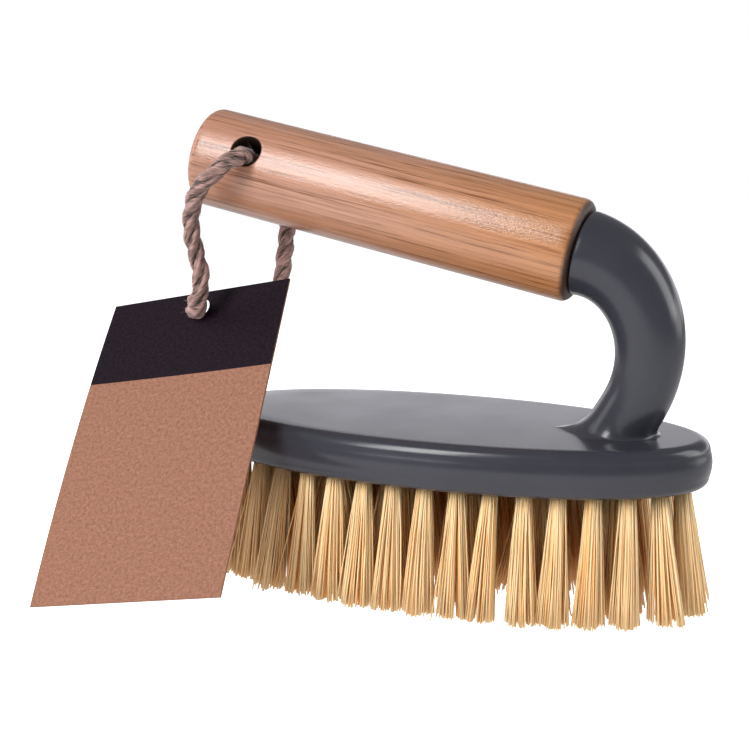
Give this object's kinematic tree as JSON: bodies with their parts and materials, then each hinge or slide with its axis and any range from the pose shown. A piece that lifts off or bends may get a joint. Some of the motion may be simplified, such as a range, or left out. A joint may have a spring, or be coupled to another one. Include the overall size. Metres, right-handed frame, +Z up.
{
  "type": "bathroom scrubbing brush",
  "caption": "Hand scrubbing brush for bathrooms: glossy oval head on a swan neck, round bamboo grip, bristle tufts below, and a twine loop with a blank card tag.",
  "frame": {"origin": "on the plane of the bristle tips, under the middle of the brush's box without the loop and tag", "axes": "+X along the head towards the neck, +Y away from the tag, +Z up through the head to the grip"},
  "size_m": [0.1804, 0.1038, 0.1316],
  "materials": {
    "body_plastic": "gloss",
    "bamboo": "satin lacquer",
    "bristle": "semi-matte",
    "anchor_metal": "bare",
    "jute": "hairy twisted yarn",
    "card": "matt kraft card with a black band across its top"
  },
  "bodies": {
    "brush": {"brush_body": "body_plastic", "bamboo_grip": "bamboo", "front_bristles": "bristle", "back_bristles": "bristle", "inner_bristles_left": "bristle", "inner_bristles_right": "bristle", "tuft_anchor_01": "anchor_metal", "tuft_anchor_02": "anchor_metal", "tuft_anchor_03": "anchor_metal", "tuft_anchor_04": "anchor_metal", "tuft_anchor_05": "anchor_metal", "tuft_anchor_06": "anchor_metal", "tuft_anchor_07": "anchor_metal", "tuft_anchor_08": "anchor_metal", "tuft_anchor_09": "anchor_metal", "tuft_anchor_10": "anchor_metal", "tuft_anchor_11": "anchor_metal", "tuft_anchor_12": "anchor_metal", "tuft_anchor_13": "anchor_metal", "tuft_anchor_14": "anchor_metal", "tuft_anchor_15": "anchor_metal", "tuft_anchor_16": "anchor_metal", "tuft_anchor_17": "anchor_metal", "tuft_anchor_18": "anchor_metal", "tuft_anchor_19": "anchor_metal", "tuft_anchor_20": "anchor_metal", "tuft_anchor_21": "anchor_metal", "tuft_anchor_22": "anchor_metal", "tuft_anchor_23": "anchor_metal", "tuft_anchor_24": "anchor_metal", "tuft_anchor_25": "anchor_metal", "tuft_anchor_26": "anchor_metal", "tuft_anchor_27": "anchor_metal", "tuft_anchor_28": "anchor_metal", "tuft_anchor_29": "anchor_metal", "tuft_anchor_30": "anchor_metal", "tuft_anchor_31": "anchor_metal", "tuft_anchor_32": "anchor_metal", "tuft_anchor_33": "anchor_metal", "tuft_anchor_34": "anchor_metal", "tuft_anchor_35": "anchor_metal", "tuft_anchor_36": "anchor_metal", "tuft_anchor_37": "anchor_metal", "tuft_anchor_38": "anchor_metal", "tuft_anchor_39": "anchor_metal", "tuft_anchor_40": "anchor_metal", "tuft_anchor_41": "anchor_metal", "tuft_anchor_42": "anchor_metal", "tuft_anchor_43": "anchor_metal", "tuft_anchor_44": "anchor_metal", "tuft_anchor_45": "anchor_metal", "tuft_anchor_46": "anchor_metal", "tuft_anchor_47": "anchor_metal", "tuft_anchor_48": "anchor_metal", "tuft_anchor_49": "anchor_metal", "tuft_anchor_50": "anchor_metal"},
    "loop": {"jute_twine": "jute", "twine_knot": "jute"},
    "tag": {"swing_tag": "card"}
  },
  "joints": [
    {"name": "twine_swing", "type": "hinge", "parent": "brush", "child": "loop", "pos_m": [-0.05544, 0, 0.11485], "axis": [0.0891, -0.8988, 0.4292], "range_deg": [-25, 12]},
    {"name": "tag_turn", "type": "hinge", "parent": "loop", "child": "tag", "pos_m": [-0.0744, -0.0068, 0.0733], "axis": [-0.1729, -0.737, 0.6534], "range_deg": [-45, 30]}
  ]
}
